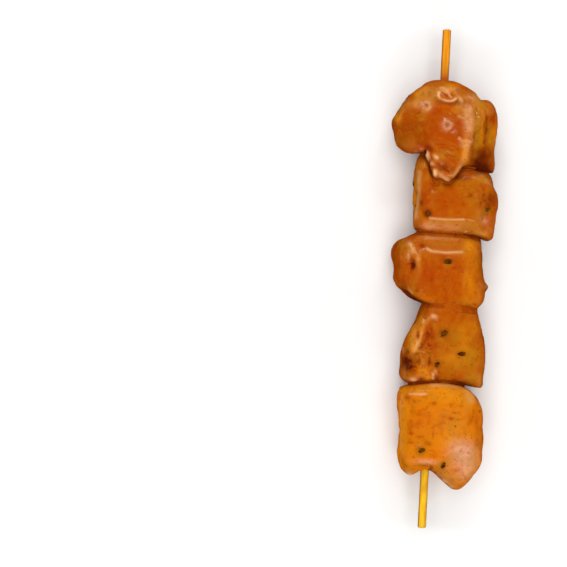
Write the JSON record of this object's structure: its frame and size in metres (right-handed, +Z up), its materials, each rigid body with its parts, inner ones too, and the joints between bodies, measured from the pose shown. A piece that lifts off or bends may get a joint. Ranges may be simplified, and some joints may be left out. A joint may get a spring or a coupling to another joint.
{
  "type": "chicken kebab skewer",
  "caption": "Raw marinated chicken breast chunks threaded on a round bamboo skewer, lying flat, ready for the grill.",
  "frame": {"origin": "middle of the whole kebab's outline, on the plane it lies on", "axes": "+Y along the skewer towards the end with the tongue-shaped chunk, +X across it, +Z up off the table"},
  "size_m": [0.0394, 0.18, 0.027],
  "materials": {
    "bamboo": "satin",
    "marinated_chicken": "wet gloss",
    "marinade": "wet gloss",
    "dried_herb": "matte"
  },
  "bodies": {
    "root": {"bamboo_skewer": "bamboo", "chicken_chunk_1": "marinated_chicken", "chicken_chunk_2": "marinated_chicken", "chicken_chunk_3": "marinated_chicken", "chicken_chunk_4": "marinated_chicken", "chicken_chunk_5": "marinated_chicken"}
  },
  "joints": []
}
